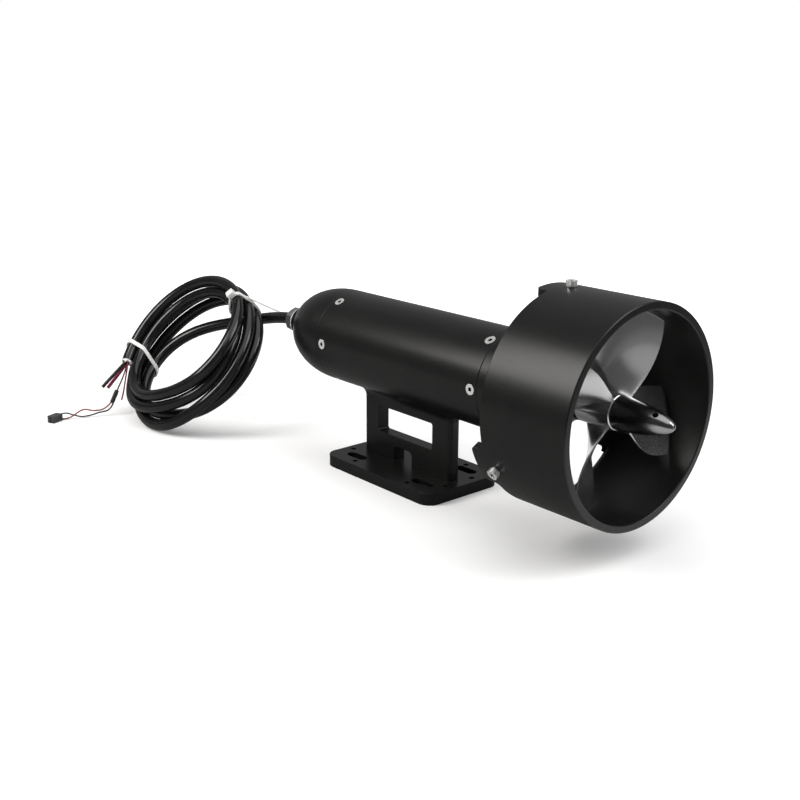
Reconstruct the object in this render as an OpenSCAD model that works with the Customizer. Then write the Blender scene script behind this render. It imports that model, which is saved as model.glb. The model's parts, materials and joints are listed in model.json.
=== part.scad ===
// Ducted underwater thruster on a pedestal with a slotted base plate and a coiled cable.
// X runs along the thruster axis towards the outlet and Z is up.
// The origin is the middle of the underside of the base plate.

/* [Barrel] */
// Height of the thruster axis over the underside of the base plate
axis_h = 93; // [88:1:120]
// Outside diameter of the barrel, the dome and the front cover
body_d = 70; // [66:1:80]
// Wall of the barrel tube
barrel_wall = 4; // [3:0.5:5]
// Reach of the barrel behind the middle of the base plate
barrel_back = 68; // [64:1:90]
// Reach of the barrel in front of the middle of the base plate
barrel_front = 102; // [96:1:120]

/* [Spigots and barrel screws] */
// Depth that the dome and the front cover plug into the barrel
spigot_length = 18; // [16:1:24]
// Wall of the spigots
spigot_wall = 5; // [4:0.5:7]
// Distance of the barrel screws from each seam
screw_inset = 6; // [5:0.5:7]
// Barrel screws round each seam
barrel_screws = 6; // [4:1:8]
// Thread diameter of the small screws
screw_d = 4; // [3:0.5:5]
// Head diameter of the flush barrel screws
flush_head_d = 7.5; // [7:0.1:9]
// Length of the flush barrel screws
flush_length = 8; // [7:0.5:9]
// Depth of the screw heads under the top of the barrel's curve
head_sink = 0.2; // [0.1:0.1:0.6]
// Chamfer of the edges beside each seam
seam_chamfer = 0.3; // [0.2:0.1:1]
// Section of the seal rings on the spigots
o_ring_d = 2.4; // [2:0.1:3]
// Distance of the seal rings from each seam
o_ring_inset = 13; // [12:0.5:14]

/* [Rear dome and gland] */
// Straight skirt of the dome beside its seam
dome_skirt = 7.3; // [4:0.1:12]
// Length of the rounded end of the dome
dome_length = 52.3; // [46:0.1:70]
// Thickness of the dome at its tip
dome_wall = 5; // [4:0.5:7]
// Diameter of the boss that carries the gland
boss_d = 22; // [21:0.5:28]
// Reach of the boss past the tip of the dome
boss_reach = 7; // [4:0.5:12]
// Thread diameter of the gland tail
gland_d = 13; // [12.5:0.5:15]
// Thickness of the bright washer under the gland nut
gland_washer_t = 1.3; // [1:0.1:2]
// Width of the gland nut across its flats
gland_flats = 18; // [18:0.5:20]
// Length of the gland nut
gland_nut_l = 11.6; // [10:0.1:16]
// Thickness of the lock nut inside the dome
lock_nut_t = 4; // [3:0.5:5]

/* [Front cover] */
// Straight part of the front cover in front of its seam
cover_straight = 23; // [23:1:30]
// Length of the nose that tapers towards the propeller
nose_length = 37; // [32:1:50]
// Diameter of the end of the nose
nose_d = 23; // [22:0.5:28]
// Depth of the hollow behind the front bearing, from the seam
cover_hollow = 24; // [23:1:26]
// Outside diameter of the shaft seal
seal_d = 16; // [14:0.5:17]
// Depth of the shaft seal
seal_l = 9; // [6:0.5:12]

/* [Struts] */
// Thickness of a strut
strut_t = 8; // [7:0.5:10]
// Distance of the strut foot from the front seam
strut_inset = 2.5; // [2:0.5:3]
// Length of the strut foot on the cover
strut_foot = 20; // [18:0.5:20.5]
// Depth of the flat that seats each strut foot
strut_seat = 1.5; // [1:0.5:2]

/* [Duct] */
// Outside diameter of the duct
duct_d = 140.8; // [138:0.1:150]
// Wall of the duct
duct_wall = 5; // [4:0.5:5.5]
// Distance of the leading edge of the duct from the middle of the base plate
duct_x = 141.2; // [138:0.1:144]
// Length of the duct
duct_length = 66.3; // [60:0.1:80]
// Length of the rounded lip inside the leading edge
lip_length = 6; // [4:0.5:10]
// Thickness left at the leading edge
lip_edge = 1; // [0.8:0.1:2]
// Chamfer of the edges of the outlet
outlet_chamfer = 0.5; // [0.3:0.1:1.5]
// Reach of the screw tabs in front of the leading edge
tab_reach = 10.2; // [6:0.1:12]
// Width of the screw tabs
tab_w = 28.6; // [20:0.1:36]
// Radius of the hollow corners beside the tabs
tab_fillet = 4; // [2:0.5:6]
// Radius of the outer corners of the tabs
tab_corner = 3; // [1:0.5:5]
// Distance of the duct screws behind the leading edge
tab_screw_x = 5.8; // [4:0.1:8]
// Head diameter of the duct screws
cap_head_d = 7.4; // [6:0.1:8]
// Head height of the duct screws
cap_head_h = 4; // [3:0.1:5]
// Length of the duct screws under the head
cap_length = 11; // [9:0.5:12]

/* [Propeller] */
// Gap between the blade tips and the duct
tip_gap = 1.9; // [1:0.1:4]
// Blades of the propeller
blade_count = 4; // [3:1:5]
// Depth of the blades along the axis at their tips
blade_depth = 17.5; // [14:0.5:22]
// Turn of the first blade's leading edge at the hub
lead_angle = -6; // [-20:1:20]
// Angle that a blade covers round the hub
root_sweep = 60; // [40:1:70]
// Angle that a blade covers at its tip
tip_sweep = 37; // [25:1:60]
// Blade thickness at the hub
blade_root_t = 4.2; // [3:0.1:6]
// Blade thickness at the tip
blade_tip_t = 1.8; // [1.4:0.1:3]
// Diameter of the propeller hub
hub_d = 23; // [22:0.5:26]
// Length of the propeller hub
hub_l = 27; // [24:0.5:36]
// Length of the cone nut
cone_l = 39.5; // [34:0.5:50]
// Diameter of the cone nut's base
cone_d = 21.5; // [19:0.5:23]
// Diameter of the cross hole in the cone nut
cone_hole_d = 3.6; // [2:0.1:4]

/* [Shaft and motor] */
// Diameter of the propeller shaft
shaft_d = 8; // [7:0.5:9]
// Outside diameter of the bearings
bearing_d = 22; // [19:0.5:24]
// Width of the bearings
bearing_w = 7; // [6:0.5:9]
// Diameter of the pin that drives the propeller
pin_d = 3; // [2.5:0.1:3.5]
// Length of the motor case
case_l = 74; // [70:1:84]
// Wall of the motor case
case_wall = 3; // [2:0.5:4]
// Thickness of the closed end of the motor case
case_end = 12; // [11:0.5:15]
// Length of the stator and the rotor
core_l = 40; // [30:1:44]
// Diameter of the rotor core
rotor_d = 32.8; // [28:0.1:36]
// Gap between the rotor and the stator
air_gap = 0.6; // [0.4:0.1:1]
// Slots in the stator
stator_slots = 12; // [6:3:12]
// Diameter of the controller board
board_d = 46; // [42:1:50]
// Length of the posts that carry the controller board
post_l = 18; // [12:1:24]

/* [Pedestal] */
// Length of the pedestal web
web_l = 95.2; // [90:0.1:104]
// Thickness of the pedestal web
web_t = 10; // [9:0.5:14]
// Radius of the upright corners of the web
web_corner = 3; // [1:0.5:4]
// Radius of the hollow fillet under the barrel
saddle_r = 9; // [6:0.5:12]
// Width of the window
window_w = 60; // [40:1:62]
// Height of the window
window_h = 20; // [14:0.5:22]
// Height of the lower edge of the window over the base plate
window_z = 18.7; // [16:0.1:20]
// Place of the window along the web
window_x = -1.2; // [-3:0.1:3]
// Radius of the corners of the window
window_r = 2; // [1:0.5:4]
// Width of the notch over the base plate
notch_w = 20; // [12:1:30]
// Height of the notch
notch_h = 11; // [6:0.5:12]
// Radius of the upper corners of the notch
notch_r = 4; // [2:0.5:5]
// Place of the notch along the web
notch_x = -3; // [-10:1:10]
// Thread diameter of the screws that hold the pedestal
pedestal_screw_d = 5; // [4:0.5:5]
// Depth that those screws reach into the web
pedestal_grip = 12; // [10:1:13]

/* [Base plate] */
// Length of the base plate
plate_l = 118; // [112:0.5:140]
// Width of the base plate
plate_w = 71; // [68:0.5:90]
// Thickness of the base plate
plate_t = 8.6; // [8:0.1:12]
// Corner radius of the base plate
plate_corner = 10; // [6:0.5:14]
// Spacing of the slots along the plate
slot_dx = 74; // [70:0.5:80]
// Spacing of the slots across the plate
slot_dy = 42; // [38:0.5:46]
// Length of the slots from end to end
slot_l = 16.5; // [12:0.5:18]
// Width of the slots
slot_w = 4.5; // [4:0.1:5.5]
// Width of the recess over each slot
recess_w = 8; // [7:0.1:9]
// Depth of the recess over each slot
recess_depth = 4.2; // [3:0.1:6]
// Diameter of the plain holes
hole_d = 4.2; // [3:0.1:5]
// Spacing of the outer holes along the plate
outer_dx = 104.4; // [102:0.1:106]
// Spacing of the outer holes across the plate
outer_dy = 25; // [20:0.1:28]
// Spacing of the inner holes along the plate
inner_dx = 59.2; // [50:0.1:64]
// Spacing of the inner holes across the plate
inner_dy = 57.6; // [56:0.1:60]

/* [Cable] */
// Outside diameter of the cable
cable_d = 9.6; // [8:0.1:9.8]
// Radius of the coil at the middle of its turns
coil_r = 58.5; // [50:0.5:70]
// Thickness of the coil across its turns
coil_t = 24; // [18:0.5:30]
// Width of the coil along its axis
coil_w = 37; // [30:0.5:44]
// Lean of the coil from lying flat
coil_lean = 49; // [40:1:60]
// Width of a cable tie
tie_w = 3.6; // [2.5:0.1:5]
// Thickness of a cable tie
tie_t = 1.2; // [1:0.1:1.6]
// Diameter of the power leads
lead_d = 2.9; // [2:0.1:4]
// Diameter of the signal wires
wire_d = 1.3; // [1:0.1:2]
// Diameter of the heat-shrink sleeve
sleeve_d = 3; // [2.6:0.1:4]
// Width of the connector
plug_w = 7; // [5:0.5:9]
// Length of the connector
plug_l = 11; // [8:0.5:14]
// Height of the connector
plug_h = 6; // [5:0.5:8]

/* [Hidden] */
$fn = 64;
// Clearance of pieces that are fixed to each other
fit = 0.1;
// Clearance of the shaft in its bearings and its seal
run_fit = 0.05;
// Clearance of a cable tie round the coil
tie_fit = 0.3;
// Overlap of a cut past the face it opens
cut = 1;
// Share of a screw's thread diameter that its socket takes
socket_share = 0.8;

body_r = body_d / 2;
bore_r = body_r - barrel_wall;
spigot_r = bore_r - fit;
spigot_in_r = spigot_r - spigot_wall;
dome_tip = barrel_back + dome_skirt + dome_length;
boss_end = dome_tip + boss_reach;
gland_end = boss_end + gland_washer_t + gland_nut_l;
lock_seat = dome_tip - dome_wall;
gland_in_d = cable_d + 4 * fit;
tail_end = boss_end + gland_washer_t + gland_nut_l / 2;
gland_lip = 2.5;
cover_end = barrel_front + cover_straight + nose_length;
shaft_r = shaft_d / 2;
tunnel_r = shaft_r + 1;
strut_seat_r = body_r - strut_seat;
duct_r = duct_d / 2;
duct_in_r = duct_r - duct_wall;
strut_x = barrel_front + strut_inset;
tip_x = duct_x + tab_screw_x;
strut_count = 3;
strut_lean = atan2(tip_x - strut_x - strut_foot / 2, duct_in_r - strut_seat_r);
strut_chord = strut_foot * cos(strut_lean);
strut_screw_x = strut_x + strut_foot * 0.7;
strut_screw_grip = 9;
prop_gap = 1;
hub_x = cover_end + prop_gap;
hub_end = hub_x + hub_l;
tip_r = duct_in_r - tip_gap;
root_depth = hub_l - 1;
tip_lag = 5;
blade_sink = 3;
cone_thread = 17;
pin_x = hub_x + 3.5;
pin_l = hub_d - 5;
case_x = barrel_front - spigot_length - case_l;
case_r = bore_r - fit;
case_in_r = case_r - case_wall;
core_x = case_x + case_end + 16;
stator_in_r = rotor_d / 2 + air_gap;
collar_l = 5;
collar_x = barrel_front + cover_hollow - collar_l - 3 * fit;
board_x = case_x - post_l;
board_t = 1.6;
post_pcd = 36;
post_d = 6;
column_screw_gap = 9;
web_top = axis_h - body_r;
saddle_z = axis_h - sqrt(pow(body_r + saddle_r, 2) - pow(web_t / 2 + saddle_r, 2));
saddle_reach = (web_t / 2 + saddle_r) * body_r / (body_r + saddle_r) - web_t / 2;

// Middle of the coil, with its lowest turn on the floor
coil_at = [-220, -55, 60];
// Turns of the coil's cross-section
coil_sides = 32;
upper_tie_turn = 65;
left_tie_turn = 195;
tie_head = [5, 4.6, 4.4];
tie_tail = 32;
tie_tail_w = 2.4;
tie_tail_turn = 168;
// Route of the cable from the gland to the coil
cable_route = [
    [-118, 0, 93], [-135, 0, 93], [-152, 0, 93], [-166, -1, 91], [-182, -2, 86], [-202, -2.5, 79],
    [-217, -9, 75], [-230, -16, 70.5], [-242, -25, 65.5], [-255, -36, 58], [-265, -43, 51], [-272, -48, 44]
];
// Routes of the cores that leave the cut end of the cable
black_route = [[-272, -81, 51], [-275, -88, 43], [-278, -95, 36], [-281, -101, 29], [-283, -106, 23]];
red_route = [[-269, -83, 51], [-270, -90, 44], [-271, -97, 38], [-272, -102, 32], [-274, -106, 27]];
spare_route = [[-270.5, -82, 46], [-271, -87, 38], [-271, -91, 30], [-270.5, -94, 21], [-270, -96, 14]];
stub_route = [[-277, -83, 46.5], [-277.3, -88, 39.5], [-276.3, -92, 32], [-275, -95, 26], [-274, -97, 21]];
sleeve_route = [[-274, -97, 21.5], [-275, -102, 11]];
wire_a_route = [
    [-275.6, -100.8, 12.5], [-277, -104, 7.5], [-280, -109, 3.5], [-286, -115, 2], [-290, -121, 3],
    [-289, -127, 2.5], [-288, -132, 2], [-289, -137, 2.5], [-289.8, -143, 3]
];
wire_b_route = [
    [-274.3, -101.8, 12.5], [-275, -106, 6.5], [-277, -112, 2], [-281, -118, 1], [-284, -124, 1],
    [-287, -129, 4], [-291, -134, 4], [-293, -138, 3], [-292.1, -144, 3]
];
plug_at = [-289, -148];
plug_turn = -67;
plug_pitch = 2.5;
plug_socket = 1.6;
plug_rise = 0.05;

black = [0.11, 0.11, 0.115];
steel = [0.78, 0.78, 0.76];
gunmetal = [0.33, 0.33, 0.35];
rubber = [0.05, 0.05, 0.05];

// Puts +Z of its children along the thruster axis, and their +X upwards
module on_axis(x) {
    translate([x, 0, axis_h]) rotate([0, 90, 0]) rotate([0, 0, 180]) children();
}

// Puts +Z of its children outwards from the axis, turned from the top towards -Y
module radial(x, turn) {
    on_axis(x) rotate([0, 0, turn]) rotate([0, 90, 0]) children();
}

module ring(r_out, r_in, h) {
    difference() {
        cylinder(r = r_out, h = h);
        translate([0, 0, -cut]) cylinder(r = r_in, h = h + 2 * cut);
    }
}

function ellipse(a, b, n) = [for (i = [0 : n - 1]) [a * cos(360 * i / n), b * sin(360 * i / n)]];

// Quarter of an ellipse from its rim to the axis
function quarter(r, l, n) = [for (i = [0 : n]) [r * cos(90 * i / n), l * sin(90 * i / n)]];

module hex_socket(d, depth) {
    translate([0, 0, -depth]) cylinder(d = d, h = depth + cut, $fn = 6);
}

// Countersunk screw with its flat head at z = 0 and its thread downwards
module flush_screw(d, head_d, length) {
    head_h = (head_d - d) / 2;
    difference() {
        union() {
            translate([0, 0, -head_h]) cylinder(d1 = d, d2 = head_d, h = head_h);
            translate([0, 0, -length]) cylinder(d = d, h = length);
        }
        hex_socket(d * socket_share, head_h * 0.9);
    }
}

module flush_hole(d, head_d, length) {
    head_h = (head_d - d) / 2;
    translate([0, 0, -head_h]) cylinder(d1 = d + 2 * fit, d2 = head_d + 2 * fit, h = head_h);
    translate([0, 0, -length - cut]) cylinder(d = d + 2 * fit, h = length + cut);
    cylinder(d = head_d + 2 * fit, h = cut);
}

// Socket screw with the underside of its head at z = 0
module cap_screw(d, head_d, head_h, length) {
    difference() {
        union() {
            cylinder(d = head_d, h = head_h);
            translate([0, 0, -length]) cylinder(d = d, h = length + cut);
        }
        translate([0, 0, head_h]) hex_socket(d * socket_share, head_h * 0.6);
    }
}

module barrel_screw_places(x) {
    for (i = [0 : barrel_screws - 1])
        radial(x, (i + 0.5) * 360 / barrel_screws) translate([0, 0, body_r - head_sink]) children();
}

module strut_places() {
    for (i = [0 : strut_count - 1]) rotate([0, 0, i * 360 / strut_count]) children();
}

// Places of the screws under the strut feet, with +Z outwards
module strut_screw_places() {
    for (i = [0 : strut_count - 1]) radial(strut_screw_x, i * 360 / strut_count) children();
}

module tab_screw_places() {
    for (i = [0 : strut_count - 1]) radial(tip_x, i * 360 / strut_count) children();
}

module column_places() {
    for (s = [-1, 1]) translate([(s * (web_l + window_w) / 2 + window_x) / 2, 0, 0]) children();
}

module four(dx, dy) {
    for (sx = [-1, 1]) for (sy = [-1, 1]) translate([sx * dx / 2, sy * dy / 2, 0]) children();
}

module rounded(l, w, r) {
    square([l - 2 * r, w], center = true);
    if (w > 2 * r) square([l, w - 2 * r], center = true);
    four(l - 2 * r, w - 2 * r) circle(r = r);
}

module barrel_tube() {
    length = barrel_back + barrel_front;
    color(black) difference() {
        on_axis(-barrel_back) rotate_extrude() polygon([
            [bore_r, 0], [body_r - seam_chamfer, 0], [body_r, seam_chamfer], [body_r, length - seam_chamfer],
            [body_r - seam_chamfer, length], [bore_r, length]
        ]);
        barrel_screw_places(-barrel_back + screw_inset) flush_hole(screw_d, flush_head_d, flush_length);
        barrel_screw_places(barrel_front - screw_inset) flush_hole(screw_d, flush_head_d, flush_length);
        column_places() saddle_screw_hole();
    }
}

// Groove and screw holes of a spigot whose seam is at x and which reaches along dir
module spigot_cuts(x, dir) {
    on_axis(x + dir * o_ring_inset - (o_ring_d + 2 * fit) / 2)
        ring(bore_r + cut, spigot_r - o_ring_d - fit, o_ring_d + 2 * fit);
    barrel_screw_places(x + dir * screw_inset)
        flush_hole(screw_d, flush_head_d, flush_length + 2 * spigot_wall);
}

module rear_dome() {
    outer = concat(
        [[0, 0], [body_r - seam_chamfer, 0], [body_r, seam_chamfer]],
        [for (p = quarter(body_r, dome_length, 40)) p + [0, dome_skirt]]
    );
    inner_l = dome_length - dome_wall;
    hollow = concat(
        [[0, -spigot_length - cut], [spigot_in_r, -spigot_length - cut]],
        [for (p = quarter(spigot_in_r, inner_l, 24)) p + [0, dome_skirt]]
    );
    color(black) difference() {
        on_axis(-barrel_back) mirror([0, 0, 1]) difference() {
            union() {
                rotate_extrude() polygon(outer);
                translate([0, 0, -spigot_length]) cylinder(r = spigot_r, h = spigot_length + cut);
                translate([0, 0, dome_skirt]) cylinder(d = boss_d, h = dome_length + boss_reach);
            }
            rotate_extrude() polygon(hollow);
            translate([0, 0, dome_skirt]) cylinder(d = gland_flats * 1.2, h = inner_l);
            cylinder(d = gland_d + 2 * fit, h = boss_end);
        }
        spigot_cuts(-barrel_back, 1);
    }
}

// Radius of the nose at a distance from its root
function nose_radius(s) = nose_d / 2 + (body_r - nose_d / 2) * (1 + cos(180 * s / nose_length)) / 2;

module front_cover() {
    steps = 24;
    straight = cover_straight;
    nose = [for (i = [0 : steps]) let (s = nose_length * i / steps) [nose_radius(s), straight + s]];
    end = straight + nose_length;
    seam = [[0, 0], [body_r - seam_chamfer, 0], [body_r, seam_chamfer]];
    color(black) difference() {
        on_axis(barrel_front) difference() {
            union() {
                rotate_extrude() polygon(concat(seam, nose, [[0, end]]));
                translate([0, 0, -spigot_length]) cylinder(r = spigot_r, h = spigot_length + cut);
            }
            translate([0, 0, -spigot_length - cut])
                cylinder(r = spigot_in_r, h = spigot_length + cover_hollow + cut);
            cylinder(d = bearing_d + 2 * fit, h = cover_hollow + bearing_w);
            cylinder(r = tunnel_r, h = end + cut);
            translate([0, 0, end - seal_l]) cylinder(d = seal_d + 2 * fit, h = seal_l + cut);
        }
        on_axis(0) strut_places() intersection() {
            strut_blade(fit);
            translate([strut_seat_r, -strut_t, 0]) cube([body_r, 2 * strut_t, duct_x]);
        }
        spigot_cuts(barrel_front, -1);
        strut_screw_places() cylinder(d = screw_d + 2 * fit, h = body_r + cut);
    }
}

module rear_barrel_screws() {
    color(steel) barrel_screw_places(-barrel_back + screw_inset)
        flush_screw(screw_d, flush_head_d, flush_length);
}

module front_barrel_screws() {
    color(steel) barrel_screw_places(barrel_front - screw_inset)
        flush_screw(screw_d, flush_head_d, flush_length);
}

module seal_ring(x) {
    color(rubber) on_axis(x) rotate_extrude()
        translate([spigot_r - o_ring_d / 2, 0]) circle(d = o_ring_d, $fn = 24);
}

module rear_seal_ring() {
    seal_ring(-barrel_back + o_ring_inset);
}

module front_seal_ring() {
    seal_ring(barrel_front - o_ring_inset);
}

// Rounded blade that leans from the seat of a strut to its tab on the duct
module strut_blade(gap) {
    reach = duct_r / cos(strut_lean);
    translate([strut_seat_r, 0, strut_x + strut_foot / 2]) rotate([0, 90 - strut_lean, 0])
        linear_extrude(2 * reach, center = true)
            rounded(strut_chord + 2 * gap, strut_t + 2 * gap, strut_t / 2 + gap);
}

module strut(turn) {
    color(black) difference() {
        on_axis(0) rotate([0, 0, turn]) intersection() {
            strut_blade(0);
            cylinder(r = duct_in_r - fit, h = duct_x + duct_length);
            translate([strut_seat_r + fit, -strut_t, 0]) cube([duct_r, 2 * strut_t, duct_x + duct_length]);
        }
        strut_screw_places() cylinder(d = screw_d + 2 * fit, h = strut_seat_r + strut_screw_grip + cut);
        tab_screw_places() translate([0, 0, duct_r - cap_length - cut])
            cylinder(d = screw_d + 2 * fit, h = cap_length + cut);
    }
}

module strut_1() {
    strut(0);
}

module strut_2() {
    strut(360 / strut_count);
}

module strut_3() {
    strut(720 / strut_count);
}

module strut_screws() {
    head_seat = sqrt(pow(spigot_in_r, 2) - pow(cap_head_d / 2, 2)) - fit;
    color(steel) strut_screw_places() translate([0, 0, head_seat]) mirror([0, 0, 1])
        cap_screw(screw_d, cap_head_d, cap_head_h, strut_seat_r + strut_screw_grip - head_seat);
}

// Outline of a screw tab, with +X upstream from the leading edge
module tab_outline() {
    r = tab_corner;
    back = tab_screw_x + strut_foot / 2;
    translate([-back, -tab_w / 2]) square([back + tab_reach - r, tab_w]);
    translate([-back, -tab_w / 2 + r]) square([back + tab_reach, tab_w - 2 * r]);
    for (s = [-1, 1]) {
        translate([tab_reach - r, s * (tab_w / 2 - r)]) circle(r = r);
        scale([1, s]) translate([0, tab_w / 2]) difference() {
            translate([-cut, -cut]) square(tab_fillet + cut);
            translate([tab_fillet, tab_fillet]) circle(r = tab_fillet);
        }
    }
}

module duct() {
    lip_steps = 8;
    edge = outlet_chamfer;
    lip = [for (p = quarter(lip_length, duct_wall - lip_edge, lip_steps))
        [duct_r - lip_edge - p[1], lip_length - p[0]]];
    color(black) difference() {
        union() {
            on_axis(duct_x) rotate_extrude($fn = 128) polygon(concat(lip, [
                [duct_in_r, duct_length - edge], [duct_in_r + edge, duct_length],
                [duct_r - edge, duct_length], [duct_r, duct_length - edge], [duct_r, 0]
            ]));
            intersection() {
                on_axis(duct_x - tab_reach) ring(duct_r, duct_in_r, tab_reach + duct_length);
                for (i = [0 : strut_count - 1])
                    radial(duct_x, i * 360 / strut_count) linear_extrude(duct_d) tab_outline();
            }
        }
        tab_screw_places() translate([0, 0, duct_r / 2]) cylinder(d = screw_d + 2 * fit, h = duct_r);
    }
}

module duct_screws() {
    color(steel) tab_screw_places() translate([0, 0, duct_r + fit / 4])
        cap_screw(screw_d, cap_head_d, cap_head_h, cap_length);
}

// Hollow fillet that spreads from the web's outline up to the barrel
module saddle() {
    top = web_top + barrel_wall;
    rise = top - saddle_z;
    reach = saddle_reach;
    for (s = [-1, 1]) {
        translate([-web_l / 2 + web_corner, 0, saddle_z]) scale([1, s, 1]) difference() {
            cube([web_l - 2 * web_corner, web_t / 2 + reach, rise]);
            translate([-cut, web_t / 2 + saddle_r, 0]) rotate([0, 90, 0]) cylinder(r = saddle_r, h = web_l);
        }
        translate([0, -web_t / 2 + web_corner, saddle_z]) scale([s, 1, 1]) difference() {
            cube([web_l / 2 + reach, web_t - 2 * web_corner, rise]);
            translate([web_l / 2 + saddle_r, -cut, 0]) rotate([-90, 0, 0]) cylinder(r = saddle_r, h = web_t);
        }
    }
    translate([0, 0, saddle_z]) four(web_l - 2 * web_corner, web_t - 2 * web_corner) rotate_extrude()
        difference() {
            square([web_corner + reach, rise]);
            translate([web_corner + saddle_r, 0]) circle(r = saddle_r);
        }
}

module pedestal() {
    web_z = plate_t;
    color(black) difference() {
        union() {
            translate([0, 0, web_z]) linear_extrude(saddle_z - web_z + cut)
                rounded(web_l, web_t, web_corner);
            saddle();
        }
        on_axis(-barrel_back) cylinder(r = body_r + fit / 2, h = barrel_back + barrel_front);
        translate([window_x, 0, web_z + window_z + window_h / 2]) rotate([90, 0, 0])
            linear_extrude(web_l, center = true) rounded(window_w, window_h, window_r);
        translate([notch_x, 0, web_z]) rotate([90, 0, 0]) linear_extrude(web_l, center = true)
            rounded(notch_w, 2 * notch_h, notch_r);
        column_places() saddle_screw_hole();
        base_screw_places() base_screw_hole();
    }
}

// Flush screws that hold the barrel down on the web, with their heads inside the barrel
module saddle_screw_at() {
    translate([0, 0, axis_h - bore_r - fit]) children();
}

module saddle_screw_hole() {
    saddle_screw_at() flush_hole(pedestal_screw_d, 2 * pedestal_screw_d, barrel_wall + pedestal_grip);
}

module saddle_screws() {
    color(steel) column_places() saddle_screw_at()
        flush_screw(pedestal_screw_d, 2 * pedestal_screw_d, barrel_wall + pedestal_grip);
}

module base_screw_places() {
    column_places() for (s = [-1, 1]) translate([s * column_screw_gap / 2, 0, 0]) children();
}

module base_screw_at() {
    translate([0, 0, 3 * fit]) mirror([0, 0, 1]) children();
}

module base_screw_hole() {
    base_screw_at() flush_hole(pedestal_screw_d, 1.6 * pedestal_screw_d, plate_t + pedestal_grip);
}

module base_screws() {
    color(steel) base_screw_places() base_screw_at()
        flush_screw(pedestal_screw_d, 1.6 * pedestal_screw_d, plate_t + pedestal_grip);
}

// Slot along X through a plate
module slot(length, width, h) {
    half = (length - width) / 2;
    for (s = [-1, 1]) translate([s * half, 0, 0]) cylinder(d = width, h = h);
    translate([-half, -width / 2, 0]) cube([2 * half, width, h]);
}

module base_plate() {
    color(black) difference() {
        linear_extrude(plate_t) rounded(plate_l, plate_w, plate_corner);
        four(slot_dx, slot_dy) {
            translate([0, 0, -cut]) slot(slot_l, slot_w, plate_t + 2 * cut);
            translate([0, 0, plate_t - recess_depth])
                slot(slot_l + recess_w - slot_w, recess_w, recess_depth + cut);
        }
        translate([0, 0, -cut]) {
            four(outer_dx, outer_dy) cylinder(d = hole_d, h = plate_t + 2 * cut);
            four(inner_dx, inner_dy) cylinder(d = hole_d, h = plate_t + 2 * cut);
        }
        base_screw_places() base_screw_hole();
    }
}

// Puts +Z of its children backwards along the axis, from a distance behind the plate's middle
module behind(distance) {
    on_axis(-distance) mirror([0, 0, 1]) children();
}

module gland_tail() {
    color(steel) behind(lock_seat - lock_nut_t)
        ring(gland_d / 2, gland_in_d / 2, tail_end - lock_seat + lock_nut_t);
}

module gland_lock_nut() {
    color(steel) behind(lock_seat - lock_nut_t) difference() {
        cylinder(d = gland_flats / cos(30) * 0.96, h = lock_nut_t, $fn = 6);
        translate([0, 0, -cut]) cylinder(d = gland_d + 2 * fit, h = lock_nut_t + 2 * cut);
    }
}

module gland_washer() {
    color(steel) behind(boss_end) ring(boss_d / 2 - 0.5, gland_d / 2 + fit, gland_washer_t);
}

module gland_nut() {
    corner_r = gland_flats / 2 / cos(30);
    start = boss_end + gland_washer_t;
    color(steel) behind(start) difference() {
        intersection() {
            cylinder(r = corner_r, h = gland_nut_l, $fn = 6);
            union() {
                cylinder(r = corner_r, h = gland_nut_l * 0.6);
                translate([0, 0, gland_nut_l * 0.6])
                    cylinder(r1 = corner_r, r2 = gland_flats * 0.36, h = gland_nut_l * 0.4);
            }
        }
        translate([0, 0, -cut]) cylinder(d = gland_d + 2 * fit, h = gland_nut_l - gland_lip + cut);
        cylinder(d = gland_in_d, h = gland_nut_l + cut);
    }
}

module gland_seal() {
    color(rubber) behind(tail_end + fit)
        ring(gland_d / 2, gland_in_d / 2, gland_end - gland_lip - tail_end - 2 * fit);
}

module motor_case() {
    color(gunmetal) on_axis(case_x) difference() {
        cylinder(r = case_r, h = case_l);
        translate([0, 0, case_end]) cylinder(r = case_in_r, h = case_l);
        translate([0, 0, case_end - bearing_w]) cylinder(d = bearing_d + 2 * fit, h = case_l);
        translate([0, 0, -cut]) cylinder(r = tunnel_r, h = case_l);
    }
}

module stator() {
    slot_r = (case_in_r + stator_in_r) / 2;
    color([0.45, 0.32, 0.2]) on_axis(core_x) difference() {
        ring(case_in_r - fit, stator_in_r, core_l);
        for (i = [0 : stator_slots - 1]) rotate([0, 0, i * 360 / stator_slots])
            translate([stator_in_r - cut, -1.5, -cut])
                cube([slot_r - stator_in_r + cut, 3, core_l + 2 * cut]);
    }
}

module bearing(x) {
    color(steel) on_axis(x) ring(bearing_d / 2, shaft_r + run_fit, bearing_w);
}

module rear_bearing() {
    bearing(case_x + case_end - bearing_w);
}

module front_bearing() {
    bearing(barrel_front + cover_hollow);
}

module shaft_seal() {
    color(rubber) on_axis(cover_end - seal_l) ring(seal_d / 2, shaft_r + run_fit, seal_l);
}

module post_places() {
    for (i = [0 : 3]) rotate([0, 0, 45 + 90 * i]) translate([post_pcd / 2, 0, 0]) children();
}

module board_posts() {
    color(steel) on_axis(board_x) post_places() cylinder(d = post_d, h = post_l, $fn = 6);
}

module controller_board() {
    can_d = 8;
    can_l = 11;
    chip = [12, 12, 2];
    color([0.1, 0.3, 0.18]) behind(-board_x) union() {
        cylinder(d = board_d, h = board_t);
        for (y = [-1, 0, 1]) translate([10, y * (can_d + 2), board_t - fit]) cylinder(d = can_d, h = can_l);
        translate([-12 - chip[0] / 2, -chip[1] / 2, board_t - fit]) cube(chip);
    }
}

module shaft() {
    start = case_x + 2;
    color(steel) difference() {
        on_axis(start) cylinder(d = shaft_d, h = hub_end + cone_thread - 2 - start);
        drive_pin_cut(fit);
    }
}

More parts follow.
